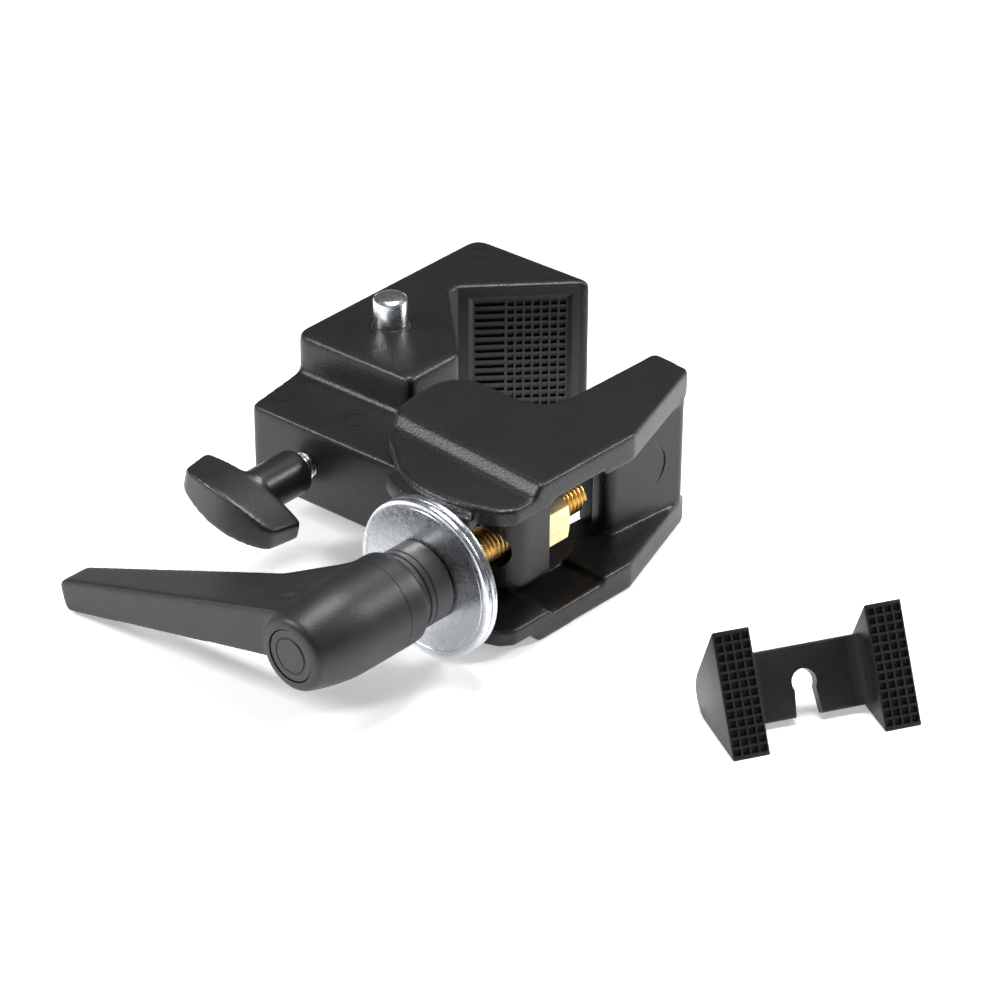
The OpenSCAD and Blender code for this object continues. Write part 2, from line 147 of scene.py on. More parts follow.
class Finish:
    """A material: fixed numbers go on the surface shader, and wires feed its varying sockets."""

    def __init__(self, name, **fixed):
        self.material = bpy.data.materials.new(name)
        self.material.use_nodes = True
        self.tree = self.material.node_tree
        self.surface = self.tree.nodes["Principled BSDF"]
        for socket, value in fixed.items():
            self.surface.inputs[socket.replace("_", " ")].default_value = value
        self.here = self.node("ShaderNodeTexCoord", output="Object")

    @staticmethod
    def add(tree, kind, settings, inputs, output=0):
        node = tree.nodes.new(kind)
        for name, value in settings.items():
            if name == "stops":
                for stop, (place, level) in zip(node.color_ramp.elements, value):
                    stop.position, stop.color = place, (level, level, level, 1)
            else:
                setattr(node, name, value)
        for name, value in inputs.items():
            if isinstance(value, Wire):
                tree.links.new(value.socket, node.inputs[name])
            else:
                node.inputs[name].default_value = value
        return Wire(node.outputs[output])

    def node(self, kind, settings={}, inputs={}, output=0):
        return self.add(self.tree, kind, settings, inputs, output)

    def speckle(self, size, detail=2.0, at=None):
        """Soft noise from 0 to 1, whose blotches are about size millimetres across."""
        return self.node("ShaderNodeTexNoise", {}, {"Vector": at or self.here, "Scale": 1 / (size * MM),
                                                    "Detail": detail, "Roughness": 0.55})

    def ramp(self, wire, low, high):
        """0 below low, 1 above high and straight between."""
        return self.node("ShaderNodeMapRange", {"clamp": True}, {"Value": wire, "From Min": low, "From Max": high})

    def tint(self, factor, first, second):
        return self.node("ShaderNodeMix", {"data_type": "RGBA"}, {0: factor, 6: (*first, 1), 7: (*second, 1)}, 2)

    def wear(self, low=0.52, high=0.6):
        """1 on the sharpest outer edges."""
        return self.ramp(self.node("ShaderNodeNewGeometry", output="Pointiness"), low, high)

    def feed(self, **wires):
        for socket, wire in wires.items():
            self.tree.links.new(wire.socket, self.surface.inputs[socket.replace("_", " ")])
        return self

    def bump(self, height, depth, strength=1.0):
        """Raises the surface by up to depth millimetres."""
        return self.feed(Normal=self.node("ShaderNodeBump", {}, {"Height": height, "Distance": depth * MM,
                                                                 "Strength": strength}))


white = Finish("table_white", Roughness=0.6, Emission_Color=(1, 1, 1, 1), Emission_Strength=0.42)
white.feed(Base_Color=white.tint(white.speckle(60), (0.93, 0.93, 0.93), (0.95, 0.95, 0.95)))
table = bmesh.new()
bmesh.ops.create_grid(table, x_segments=1, y_segments=1, size=4)
bmesh.ops.translate(table, vec=(0, 0, table_z), verts=table.verts)
table_mesh = bpy.data.meshes.new("table")
table.to_mesh(table_mesh)
table_top = bpy.data.objects.new("table", table_mesh)
table_mesh.materials.append(white.material)
bpy.context.scene.collection.objects.link(table_top)


# ---- Body casting ----
# The fixed half of the clamp: a thick head with a V notch and a stud socket, and a thinner ledge and
# arm that carry the screw and the jaw's pivot. Die-cast aluminium with a fine textured black powder
# coat. Its rough shape is joined and softened as a casting is, then bored as the real one is.

def arc(centre, radius, start, end, steps=8):
    """Points of an arc from start to end degrees."""
    turns = [radians(start + (end - start) * i / steps) for i in range(steps + 1)]
    return [(centre[0] + radius * cos(t), centre[1] + radius * sin(t)) for t in turns]


def prism(points, low, high):
    """A solid with this outline, seen from above, between two heights."""
    solid = bmesh.new()
    face = solid.faces.new([solid.verts.new((x, y, low)) for x, y in points])
    risen = bmesh.ops.extrude_face_region(solid, geom=[face])["geom"]
    bmesh.ops.translate(solid, vec=(0, 0, high - low), verts=[v for v in risen if isinstance(v, bmesh.types.BMVert)])
    bmesh.ops.recalc_face_normals(solid, faces=solid.faces)
    return solid


def block(low, high):
    return prism([(low[0], low[1]), (high[0], low[1]), (high[0], high[1]), (low[0], high[1])], low[2], high[2])


def rod(radius, start, end, tip=None, sides=64):
    """A round bar between two points, with another radius at its end if tip is given."""
    start, end = Vector(start), Vector(end)
    solid = bmesh.new()
    along = (end - start).to_track_quat("Z", "Y").to_matrix().to_4x4()
    bmesh.ops.create_cone(solid, cap_ends=True, segments=sides, radius1=radius,
                          radius2=radius if tip is None else tip, depth=(end - start).length,
                          matrix=Matrix.Translation((start + end) / 2) @ along)
    return solid


def turned(profile, steps=96):
    """A closed (radius, height) profile turned about Z."""
    solid = bmesh.new()
    ring = [solid.verts.new((r, 0, z)) for r, z in profile]
    edges = [solid.edges.new((a, b)) for a, b in zip(ring, ring[1:] + ring[:1]) if (a.co.x, b.co.x) != (0, 0)]
    bmesh.ops.spin(solid, geom=ring + edges, cent=(0, 0, 0), axis=(0, 0, 1), angle=2 * pi, steps=steps, use_merge=True)
    bmesh.ops.remove_doubles(solid, verts=solid.verts, dist=1e-4)
    bmesh.ops.recalc_face_normals(solid, faces=solid.faces)
    return solid


def moved(solid, *steps):
    """Turns or shifts a solid, by matrices or by vectors."""
    for step in steps:
        matrix = step if isinstance(step, Matrix) else Matrix.Translation(step)
        solid.transform(matrix)
    return solid


def spin_by(degrees, axis="Z"):
    return Matrix.Rotation(radians(degrees), 4, axis)


def ease(solid, radius, wanted, segments=3):
    """Rounds the edges that wanted(edge, middle) picks."""
    picked = [e for e in solid.edges if wanted(e, (e.verts[0].co + e.verts[1].co) / 2)]
    bmesh.ops.bevel(solid, geom=picked, offset=radius, offset_type="OFFSET", segments=segments, profile=0.5,
                    affect="EDGES", material=-1, clamp_overlap=True)
    return solid


def level(edge):
    """True for an edge that runs level."""
    return abs(edge.verts[0].co.z - edge.verts[1].co.z) < 1e-4


def together(*solids):
    """Several closed solids in one mesh."""
    whole = bmesh.new()
    for solid in solids:
        carrier = bpy.data.meshes.new("carrier")
        solid.to_mesh(carrier)
        whole.from_mesh(carrier)
        bpy.data.meshes.remove(carrier)
    return whole


def reworked(solid, settings):
    """The solid after one modifier."""
    item = bpy.data.objects.new("blank", bpy.data.meshes.new("blank"))
    solid.to_mesh(item.data)
    bpy.context.scene.collection.objects.link(item)
    modifier = item.modifiers.new("work", settings.pop("kind"))
    for name, value in settings.items():
        setattr(modifier, name, value)
    graph = bpy.context.evaluated_depsgraph_get()
    mesh = bpy.data.meshes.new_from_object(item.evaluated_get(graph))
    done = bmesh.new()
    done.from_mesh(mesh)
    bpy.data.objects.remove(item)
    bpy.data.meshes.remove(mesh)
    return done


def worked(solid, tools, operation="DIFFERENCE"):
    """The solid cut by, joined to or kept inside each tool in turn."""
    for tool in tools:
        cutter = bpy.data.objects.new("cutter", bpy.data.meshes.new("cutter"))
        tool.to_mesh(cutter.data)
        bpy.context.scene.collection.objects.link(cutter)
        solid = reworked(solid, {"kind": "BOOLEAN", "operation": operation, "object": cutter, "solver": "MANIFOLD"})
        bpy.data.objects.remove(cutter)
    return solid


def softened(solid, grain, passes):
    """Melts overlapping solids into one skin, with every edge and corner rounded."""
    skin = reworked(solid, {"kind": "REMESH", "mode": "VOXEL", "voxel_size": grain})
    for _ in range(passes):
        bmesh.ops.smooth_vert(skin, verts=skin.verts, factor=0.5, use_axis_x=True, use_axis_y=True, use_axis_z=True)
    return skin


def make(name, solid, place, body, slot, finish, *nodes, crease=32):
    """Puts a finished solid in its place as a piece that rides on a body and stands for CAD nodes."""
    mesh = bpy.data.meshes.new(name)
    solid.transform(place)
    if place.determinant() < 0:
        bmesh.ops.reverse_faces(solid, faces=solid.faces)
    solid.to_mesh(mesh)
    mesh.shade_smooth()
    mesh.set_sharp_from_angle(angle=radians(crease))
    mesh.materials.append(finish.material)
    piece = bpy.data.objects.new(name, mesh)
    bpy.context.scene.collection.objects.link(piece)
    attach(piece, body)
    for node in nodes:
        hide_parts(node)
    return piece


def powder_coat(name):
    """Satin black with a fine pebbled skin, a little greyer where edges have been rubbed."""
    coat = Finish(name, Specular_IOR_Level=0.42)
    pebbles = coat.speckle(0.6, 2)
    cloud = coat.speckle(14)
    worn = coat.wear(0.53, 0.62)
    dark = coat.tint(cloud, (0.006, 0.006, 0.0062), (0.01, 0.01, 0.0102))
    rubbed = coat.node("ShaderNodeMix", {"data_type": "RGBA"}, {0: worn * 0.3, 6: dark, 7: (0.04, 0.04, 0.041, 1)}, 2)
    return coat.feed(Base_Color=rubbed, Roughness=0.3 + cloud * 0.06 + pebbles * 0.08).bump(pebbles, 0.12)


height = 48
mid = height / 2
arm_low, arm_high = 12, 36
head_left, head_right, head_front, head_back = -87.8, -44.6, 43, 122
vee_y, vee_mouth, vee_flat = 91.8, 56.4, 4
vee_depth = (vee_mouth - vee_flat) / 2
apex_x = head_right - vee_depth
cast_black = powder_coat("cast_black")


def vee(grow=0.0):
    """The V notch, grown at right angles to its faces."""
    half = vee_mouth / 2 + grow * sqrt(2)
    flat = vee_flat / 2 + grow * tan(radians(22.5))
    apex = head_right - vee_depth - grow
    return [(head_right + 10, vee_y - half - 10), (apex, vee_y - flat), (apex, vee_y + flat),
            (head_right + 10, vee_y + half + 10)]


head = prism(arc((head_left + 4.5, head_front + 4.5), 4.5, 180, 270) + arc((head_right - 1.5, head_front + 1.5), 1.5, 270, 360, 4)
             + arc((head_right - 1.5, head_back - 1.5), 1.5, 0, 90, 4) + arc((head_left + 4.5, head_back - 4.5), 4.5, 90, 180),
             0, height)
head = ease(head, 1.5, lambda e, m: level(e))
head = worked(head, [prism(vee(), -1, height + 1)])
ledge = prism([(head_left + 0.4, head_front + 4.5), (-83.6, 22.8)] + arc((-81.6, 22.8), 2, 180, 270, 4)
              + arc((5.4, 26.4), 5.6, 270, 360, 8) + arc((-14, 38), 25, 0, 46, 14) + [(head_right - 2, 56)], arm_low, arm_high)
ledge = ease(ledge, 0.8, lambda e, m: level(e) and m.y < head_front)
foot = 2.6
fillet = [(head_front + 1, arm_high - 1), (head_front - foot, arm_high - 1)]
fillet += arc((head_front - foot, arm_high + foot), foot, 270, 360, 6) + [(head_front + 1, arm_high + foot)]
riser = moved(prism(fillet, head_left + 2.5, head_right - 1), Matrix(((0, 0, 1, 0), (1, 0, 0, 0), (0, 1, 0, 0), (0, 0, 0, 1))))
casting = together(head, ledge, riser)
casting = softened(casting, 0.62, 14)
seat = worked(prism(vee(2.95), 0.85, height - 0.85),
              [block((apex_x - 8, vee_y - vee_mouth / 2 + 1.25, -1), (head_right - 1.25, vee_y + vee_mouth / 2 - 1.25, 60))],
              "INTERSECT")
nut_room = block((-9, 35.6, 13.6), (31, 80, 34.4))
screw_slot = moved(together(block((-2.6, -5.5, -1), (2.2, 5.5, 40))), spin_by(90, "X"), (1.4, 59.8, mid))
slot_ends = together(rod(5.5, (-1.2, 10, mid), (-1.2, 50, mid)))
slot_other = together(rod(5.5, (3.6, 10, mid), (3.6, 50, mid)))
hex_socket = moved(rod(16.2 / sqrt(3), (0, 0, 0), (0, 0, 35), sides=6), spin_by(90, "Z"), spin_by(90, "Y"), (head_left - 1, 52, mid))
pin_bore = rod(5.7, (-70, 64, -1), (-70, 64, height + 1))
pin_flare = rod(5.2, (-70, 64, height - 1), (-70, 64, height + 0.2), tip=6.4)
pivot_bore = rod(4.05, (-22, 40.5, 5), (-22, 40.5, height))
knob_bore = rod(4.1, (-63.3, 19, mid), (-63.3, 50, mid))
casting = worked(casting, [seat, nut_room, screw_slot, slot_ends, slot_other,
                           hex_socket, pin_bore, pin_flare, pivot_bore, knob_bore])
# faint rings left by the die's ejector pins
for x, y, z in ((-55.5, 33, arm_high), (-80, 30, arm_high), (-80, 114, height), (-52, 112, height * 0 + height)):
    ring = turned([(3.1, z - 0.12), (3.4, z - 0.12), (3.4, z + 1), (3.1, z + 1)], 48)
    casting = worked(casting, [moved(ring, (x, y, 0))])
make("fixed_casting", casting, on_bench, "clamp_body", "cast_black", cast_black, "body_casting")


# ---- Fixed jaw pad ----
# A moulded black liner in the V. Each face is a shallow tray inside a smooth border, with a square
# grid that grips the tube and a ribbed strip towards the valley.

def moulded(name, dark=0.011, rough=0.34, grain=0.6):
    """Satin moulded plastic with a very fine spark-eroded skin."""
    plastic = Finish(name)
    skin = plastic.speckle(grain, 2)
    cloud = plastic.speckle(9)
    shade = plastic.tint(cloud, (dark, dark, dark * 1.03), (dark * 1.4, dark * 1.4, dark * 1.44))
    pale = dark * 4
    edged = plastic.node("ShaderNodeMix", {"data_type": "RGBA"}, {0: plastic.wear(0.53, 0.62) * 0.35, 6: shade,
                                                                 7: (pale, pale, pale, 1)}, 2)
    return plastic.feed(Base_Color=edged, Roughness=rough + cloud * 0.08 + skin * 0.05).bump(skin, 0.05)


def tray(width, tall, deep, flare):
    """A cutter for a shallow tray, centred, whose mouth at z = 0 is wider by flare all round."""
    solid = block((-width / 2, -tall / 2, -deep), (width / 2, tall / 2, 0.6))
    spread = flare * (deep + 0.6) / deep
    for v in solid.verts:
        if v.co.z > 0:
            v.co.x += spread if v.co.x > 0 else -spread
            v.co.y += spread if v.co.y > 0 else -spread
    return solid


def grid_of(columns, rows, pitch, size, deep, floor=0.0):
    """Cutters for a grid of square pockets below a floor."""
    return together(*[moved(tray(size[0], size[1], deep + floor, 0.12), ((i - columns / 2 + 0.5) * pitch,
                                                                 (j - rows / 2 + 0.5) * pitch, 0))
                      for i in range(columns) for j in range(rows)])


pad_black = moulded("pad_black", 0.009, 0.36)
grip_pitch = 2.5
liner = worked(prism(vee(2.9), 0.9, height - 0.9), [prism(vee(), -1, height + 1)])
liner = worked(liner, [block((apex_x - 8, vee_y - vee_mouth / 2 + 1.3, -1), (head_right - 1.3, vee_y + vee_mouth / 2 - 1.3, 60))],
               "INTERSECT")
face_frame = Matrix.Translation((apex_x, vee_y + vee_flat / 2, mid)) @ spin_by(45) @ spin_by(90, "X")
tray_deep = 1.1
grips = []
for across in (Matrix.Identity(4), Matrix.Translation((0, 2 * vee_y, 0)) @ Matrix.Scale(-1, 4, (0, 1, 0))):
    shell = moved(tray(27.2, 38.2, tray_deep, 1.3), (17.9, 0, 0))
    squares = moved(grid_of(7, 15, grip_pitch, (1.75, 1.65), 0.9, tray_deep), (22.7, 0, 0))
    ribs = together(*[moved(tray(8.4, 1.3, 0.9 + tray_deep, 0.15), (9.2, (j - 7) * grip_pitch, 0)) for j in range(15)])
    for cutter in (shell, squares, ribs):
        cutter.transform(across @ face_frame)
        if across.determinant() < 0:
            bmesh.ops.reverse_faces(cutter, faces=cutter.faces)
        grips.append(cutter)
liner = worked(liner, grips)
make("fixed_pad", liner, on_bench, "clamp_body", "pad_black", pad_black, "fixed_jaw_pad", crease=25)


# ---- Swinging jaw ----
# A black powder coated casting like the body: two flanges joined by a wall, straddling the arm and
# hinged on a steel pin. The washers push on ribs at its front, and a gridded pad faces the V.

joints = {joint["name"]: joint for joint in frame["joints"]}
jaw_pin = Vector(joints["jaw_swing"]["pos_m"])
jaw_place = (Matrix.Translation((jaw_pin.x, jaw_pin.y, table_z)) @ spin_by(-3) @ Matrix.Scale(MM, 4))
flange_t = 8.3
cam = (20, 0)
flange = arc(cam, 34, 226, 293, 20) + [(39.2, -29.2), (41.8, -25.6), (41.2, 21), (28.4, 57.2)]
flange += arc((26.4, 56.6), 2.2, 20, 80, 3) + arc((16.6, 57.8), 1.8, 85, 180, 4) + [(15, 28)]
flange += arc((5, 24.4), 9.9, 0, -85, 12) + arc((-7, 4.4), 9.9, 90, 170, 12)
flange += [(-16.8, 0), (-16, -6.6), (-14.7, -11.6)] + arc((3.4, -9.6), 16.6, 205, 226, 4)
step_foot, step_top, step_drop = -16.9, -13.4, 3.2
step = [(-60, height - step_drop), (step_foot, height - step_drop), (step_top, height + 0.6), (-60, height + 0.6)]
step_cut = moved(prism(step, -60, 80), Matrix(((0, 0, 1, 0), (1, 0, 0, 0), (0, 1, 0, 0), (0, 0, 0, 1))), spin_by(-2.3))
upper = ease(prism(flange, height - flange_t, height), 1.4, lambda e, m: level(e) and m.z > height - 1)
upper = worked(upper, [step_cut])
relief = block((26, -11, height - flange_t - 1), (60, 10, height - flange_t + 1.6))
upper = worked(upper, [relief])
lower = moved(together(upper), Matrix.Translation((0, 0, height)) @ Matrix.Scale(-1, 4, (0, 0, 1)))
bmesh.ops.reverse_faces(lower, faces=lower.faces)
wall = prism([(20.4, 27.8), (24.6, 26.6)] + arc((25.4, 29.4), 2.6, 270, 350, 4) + [(29.4, 52.4)]
             + arc((27, 54.2), 2.6, 0, 90, 4) + [(20.4, 57)], flange_t - 2, height - flange_t + 2)
ribs = [prism(arc(cam, 37.6, 240, 292, 14) + arc(cam, 31, 292, 240, 14), z, z + 5.4) for z in (5, height - 10.5)]
bosses = [rod(9, (0, 0, z), (0, 0, z + 4.4)) for z in (flange_t - 1, arm_high + 0.3)]
jaw = softened(together(upper, lower, wall, *ribs, *bosses), 0.5, 12)
emblem = moved(turned([(6.4, -0.5), (7.4, -0.5), (7.4, 0.6), (6.4, 0.6)], 64), spin_by(90, "Y"), (29.4, 41, mid))
jaw = worked(jaw, [emblem, rod(4.05, (0, 0, -1), (0, 0, height - 3.4))])
make("swinging_jaw", jaw, jaw_place, "jaw", "cast_black", cast_black, "movable_jaw")

strip = prism([(15.4, 28.6), (20.3, 28.6), (20.3, 57.4), (15.4, 57.4), (17.4, 46), (17.4, 40)],
              flange_t + 0.3, height - flange_t - 0.3)
strip = ease(strip, 0.35, lambda e, m: m.x < 17, 2)
rows = []
for y, turn in ((34.3, 9.9), (51.7, -9.9)):
    rows.append(moved(grid_of(11, 4, grip_pitch, (1.75, 1.75), 0.7), spin_by(-90, "Y"), spin_by(turn), (16.4, y, mid)))
make("swinging_pad", worked(strip, rows), jaw_place, "jaw", "pad_black", pad_black, "movable_jaw_pad", crease=25)


def plated(name, colour, second, rough, blotch, pit):
    """Plated steel: bright metal whose crystals scatter light in soft blotches."""
    metal = Finish(name, Metallic=1.0)
    crystals = metal.speckle(blotch, 6)
    fine = metal.speckle(0.25, 3)
    mottle = metal.ramp(crystals, 0.35, 0.68)
    return metal.feed(Base_Color=metal.tint(mottle, colour, second),
                      Roughness=rough + mottle * 0.16 + fine * 0.08).bump(fine * 0.4 + crystals * 0.6, pit)


steel = plated("steel", (0.6, 0.6, 0.61), (0.48, 0.48, 0.5), 0.24, 2.0, 0.01)
frame["nodes"]["jaw_pivot_pin"].data.materials.clear()
frame["nodes"]["jaw_pivot_pin"].data.materials.append(steel.material)


# ---- Clamp screw and its nut ----
# An M10 steel screw with yellow zinc plating, held by a hex nut in the arm's open pocket. The thread
# is wound as a helix, and the nut's corners are chamfered off as on any bought nut.

screw_joint = joints["washer_travel"]
screw_axis = Vector(screw_joint["axis"])
screw_pivot = Vector(joints["screw_tilt"]["pos_m"])
screw_yaw = Matrix.Rotation(atan2(-screw_axis.x, screw_axis.y), 4, "Z")
# +Z runs along the screw, away from the lever
along_screw = Matrix.Translation(screw_pivot) @ screw_yaw @ spin_by(-90, "X") @ Matrix.Scale(MM, 4)
stack_front = -43.74
screw_back = 17


def threaded(radius, pitch, start, end, steps=40):
    """A helical thread along Z with a rounded tip at its end."""
    root = radius - 0.61 * pitch
    ridge = [(root, 0), (radius, 0.36 * pitch), (radius, 0.5 * pitch), (root, 0.86 * pitch), (root, pitch)]
    turns = int((end - start) / pitch) - 1
    screw = bmesh.new()
    ring = [screw.verts.new((r, 0, start + z)) for r, z in ridge]
    edges = [screw.edges.new(pair) for pair in zip(ring, ring[1:])]
    bmesh.ops.spin(screw, geom=ring + edges, cent=(0, 0, 0), axis=(0, 0, 1), dvec=(0, 0, pitch / steps),
                   angle=2 * pi * turns, steps=turns * steps)
    bmesh.ops.remove_doubles(screw, verts=screw.verts, dist=1e-3)
    rim = [e for e in screw.edges if e.is_boundary]
    bmesh.ops.holes_fill(screw, edges=rim, sides=0)
    bmesh.ops.recalc_face_normals(screw, faces=screw.faces)
    core = turned([(0, start + 0.2), (root + 0.05, start + 0.2), (root + 0.05, end - 1.4), (root - 0.3, end - 0.5),
                   (root - 1.2, end), (0, end)], 48)
    return together(screw, core)


yellow_zinc = plated("yellow_zinc", (0.83, 0.58, 0.2), (0.72, 0.42, 0.12), 0.2, 3.0, 0.006)
pale_zinc = plated("yellow_zinc_nut", (0.92, 0.76, 0.46), (0.86, 0.64, 0.34), 0.3, 2.5, 0.01)
make("thread", threaded(4.95, 1.5, stack_front - 9, screw_back), along_screw, "screw", "yellow_zinc", yellow_zinc,
     "clamp_screw")
nut = rod(17 / sqrt(3), (0, 0, -4.4), (0, 0, 4.6), sides=6)
barrel = turned([(0, -4.4), (8.3, -4.4), (9.75, -3.6), (9.75, 3.8), (8.3, 4.6), (0, 4.6)], 96)
nut = worked(nut, [barrel], "INTERSECT")
nut = worked(nut, [rod(5.0, (0, 0, -6), (0, 0, 6))])
make("hex_nut", nut, along_screw, "screw", "yellow_zinc_nut", pale_zinc, "clamp_screw_nut", crease=20)


# ---- Thrust washers ----
# Two big zinc plated steel washers with a thin nylon one between them, so that the lever turns freely
# against the jaw. The plating shows a soft crystalline mottle.

def lever_place(turn=0.0):
    """A place on the washers' front face, with +Z towards the lever's cap and +Y up."""
    washer_low, washer_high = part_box("front_washer")
    face = (washer_low + washer_high) / 2 - screw_axis * 0.9 * MM
    return (Matrix.Translation(face) @ screw_yaw @ spin_by(90, "X") @ spin_by(turn) @ Matrix.Scale(MM, 4))


from_washers = lever_place()
washer_r = 22.3
washer_t = 1.8


def washer(front):
    """A washer with a rolled rim and a fine turned line near it, whose front face is at front."""
    back = front - washer_t
    return turned([(5.3, back), (washer_r - 0.3, back), (washer_r, back + 0.3), (washer_r, front - 0.6),
                   (washer_r - 0.2, front - 0.25), (washer_r - 0.7, front), (washer_r - 1.9, front),
                   (washer_r - 2.0, front - 0.1), (washer_r - 2.2, front - 0.1), (washer_r - 2.3, front),
                   (5.3, front)], 160)


zinc = plated("zinc", (0.72, 0.74, 0.77), (0.6, 0.63, 0.67), 0.14, 1.6, 0.012)
make("outer_washer", washer(0), from_washers, "washers", "zinc", zinc, "front_washer")
make("inner_washer", washer(-2.2), from_washers, "washers", "zinc", zinc, "rear_washer")
nylon = moulded("friction_plastic", 0.16, 0.5, 1.0)
frame["nodes"]["friction_washer"].data.materials.clear()
frame["nodes"]["friction_washer"].data.materials.append(nylon.material)


# ---- Ratchet nut ----
# The dark grey steel nut that runs on the screw's front end. Its stepped collar shows between washer
# and lever; behind it a toothed wheel engages the lever, and a retaining screw holds the spring.

def toothed(radius, teeth=18, depth=0.9):
    """Outline of the ratchet wheel."""
    points = []
    for i in range(teeth):
        for share, drop in ((0, 0), (0.18, 0), (0.5, depth), (0.68, depth)):
            turn = 2 * pi * (i + share) / teeth
            points.append(((radius - drop) * cos(turn), (radius - drop) * sin(turn)))
    return points


collar = turned([(5.1, 0.3), (10.6, 0.3), (11.2, 0.8), (11.2, 6.6), (10.8, 6.8), (10.8, 7.0), (11.1, 7.2),
                 (11.1, 8.6), (10.6, 8.8), (10.6, 9.0), (10.9, 9.2), (10.9, 10.8), (8, 11.1), (8, 11.4),
                 (6.4, 11.4), (6.4, 26), (2.6, 26), (2.6, 24), (5.1, 24)])
wheel = worked(prism(toothed(8.3), 10.5, 17), [rod(5.1, (0, 0, 5), (0, 0, 22))])
ratchet_grey = moulded("ratchet_grey", 0.035, 0.36, 0.7)
make("ratchet_collar", worked(collar, [wheel], "UNION"), from_washers, "ratchet", "ratchet_grey", ratchet_grey,
     "ratchet_nut")
for node in ("spring_washer", "lever_retaining_screw"):
    frame["nodes"][node].data.materials.clear()
    frame["nodes"][node].data.materials.append(steel.material)


def spring(radius, wire, start, length, turns, steps=28, sides=8):
    """A coil spring along Z, wound from round wire, with closed wire ends."""
    coil = bmesh.new()
    hoop = bmesh.ops.create_circle(coil, cap_ends=True, segments=sides, radius=wire,
                                   matrix=Matrix.Translation((radius, 0, start + wire)) @ spin_by(90, "X"))
    bmesh.ops.spin(coil, geom=coil.faces[:] + coil.edges[:] + coil.verts[:], cent=(0, 0, 0), axis=(0, 0, 1),
                   dvec=(0, 0, (length - 2 * wire) / (turns * steps)), angle=2 * pi * turns, steps=turns * steps)
    bmesh.ops.remove_doubles(coil, verts=coil.verts, dist=1e-4)
    bmesh.ops.recalc_face_normals(coil, faces=coil.faces)
    return coil


spring_steel = plated("spring_steel", (0.56, 0.56, 0.58), (0.42, 0.42, 0.44), 0.28, 1.5, 0.008)
spring_start, spring_end = 18.3, 32.1
lever_coil = make("lever_coil", spring(7.25, 0.5, spring_start, spring_end - spring_start, 6), from_washers, "ratchet",
                  "spring_steel", spring_steel, "lever_spring")
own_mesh(lever_coil)


# ---- Ratchet lever ----
# Glass filled nylon, moulded in one piece: a round hub that draws in to its end, and a tapered arm
# that falls away to rest its tip on the table. A soft web blends the arm into the hub.

hub_r = 13
hub_start, hub_end = 11.3, 49.4
arm_length, arm_fall, arm_rise = 89.3, 14.8, 3.8


def beam(root, tip):
    """A tapered bar; each end is its x, its half height and its two depths."""
    bar = block((tip[0], -1, 0), (root[0], 1, 1))
    for v in bar.verts:
        x, half, near, far = tip if v.co.x < (tip[0] + root[0]) / 2 else root
        v.co.y = arm_rise + (half if v.co.y > 0 else -half)
        v.co.z = far if v.co.z > 0.5 else near
    return bar


lever_black = moulded("lever_black", 0.009, 0.4, 0.7)
hub = turned([(0, hub_start), (hub_r - 0.5, hub_start), (hub_r, hub_start + 0.8), (hub_r, hub_end - 17),
              (12.8, hub_end - 14), (12.3, hub_end - 10), (11.5, hub_end - 6), (10.6, hub_end - 2.6),
              (10.2, hub_end - 1.0), (9.3, hub_end), (0, hub_end)], 128)
arm = beam((0, 7.2, 22, 47), (-arm_length, 4.6, 38.3, 48.3))
arm = ease(arm, 2.0, lambda e, m: m.x < -arm_length + 1 and abs(e.verts[0].co.z - e.verts[1].co.z) > 1, 4)
arm = ease(arm, 0.9, lambda e, m: abs(e.verts[0].co.x - e.verts[1].co.x) > 1 and m.x > -arm_length + 3, 3)
web = beam((-4, 8.6, 17.5, 38), (-26, 6.2, 28, 42))
lever = together(hub, moved(together(arm, web), spin_by(arm_fall)))
lever = softened(lever, 0.5, 14)
lever = worked(lever, [rod(7.35, (0, 0, hub_end - 2.4), (0, 0, hub_end + 2)),
                       rod(8.7, (0, 0, 10), (0, 0, 17)), rod(6.8, (0, 0, 16.5), (0, 0, 18.5)),
                       rod(8.5, (0, 0, 18.2), (0, 0, 45.8)),
                       turned([(hub_r - 0.14, 18.3), (hub_r + 1, 18.2), (hub_r + 1, 18.6), (hub_r - 0.14, 18.5)])])
make("ratchet_lever", lever, from_washers, "handle", "lever_black", lever_black, "lever")

cap = turned([(0, hub_end - 2.3), (7.25, hub_end - 2.3), (7.25, hub_end - 0.55), (6.95, hub_end - 0.25),
              (5.2, hub_end - 0.25), (5.1, hub_end - 0.45), (4.8, hub_end - 0.45), (4.6, hub_end - 0.1), (0, hub_end - 0.1)])
cap_black = moulded("cap_black", 0.013, 0.4, 0.7)
make("lever_end_cap", cap, from_washers, "handle", "cap_black", cap_black, "lever_cap")


# ---- Safety pin ----
# A zinc plated pin across the stud socket, pressed down against its spring to let a stud in or out.
# It stands proud of the head, inside a plastic bush, and a plastic plug holds the spring below.

